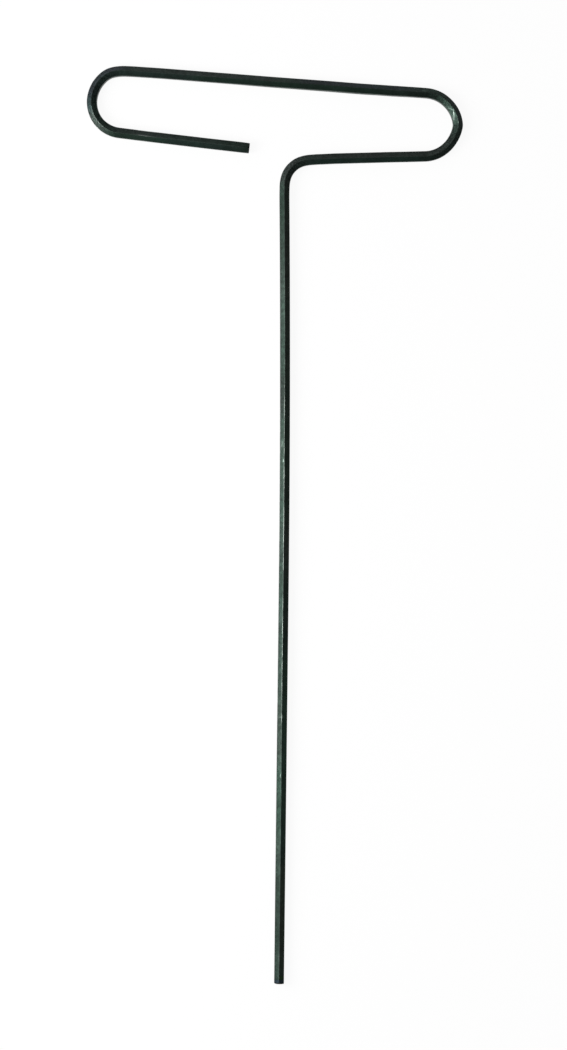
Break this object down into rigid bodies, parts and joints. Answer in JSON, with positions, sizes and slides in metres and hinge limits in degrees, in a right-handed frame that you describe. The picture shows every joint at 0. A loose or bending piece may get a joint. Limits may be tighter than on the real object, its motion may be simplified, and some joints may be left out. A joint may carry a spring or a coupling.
{
  "type": "hex key",
  "caption": "Long hexagonal steel bar bent at the top into an open looped cross handle, for turning hex socket screws.",
  "frame": {"origin": "centre of the flat end face at the tip of the blade, at mid thickness", "axes": "the blade leaves the tip along +Y, the handle's arms run along X with the closed neck side towards +X, and the bar is bent in the XY plane, so +Z is the key's thin direction and it lies on its -Z side"},
  "size_m": [0.1045, 0.2544, 0.0032],
  "materials": {
    "black_oxide_steel": "satin green-black oxide over drawn steel, worn bright in places"
  },
  "bodies": {
    "root": {"hex_key": "black_oxide_steel"}
  },
  "joints": []
}
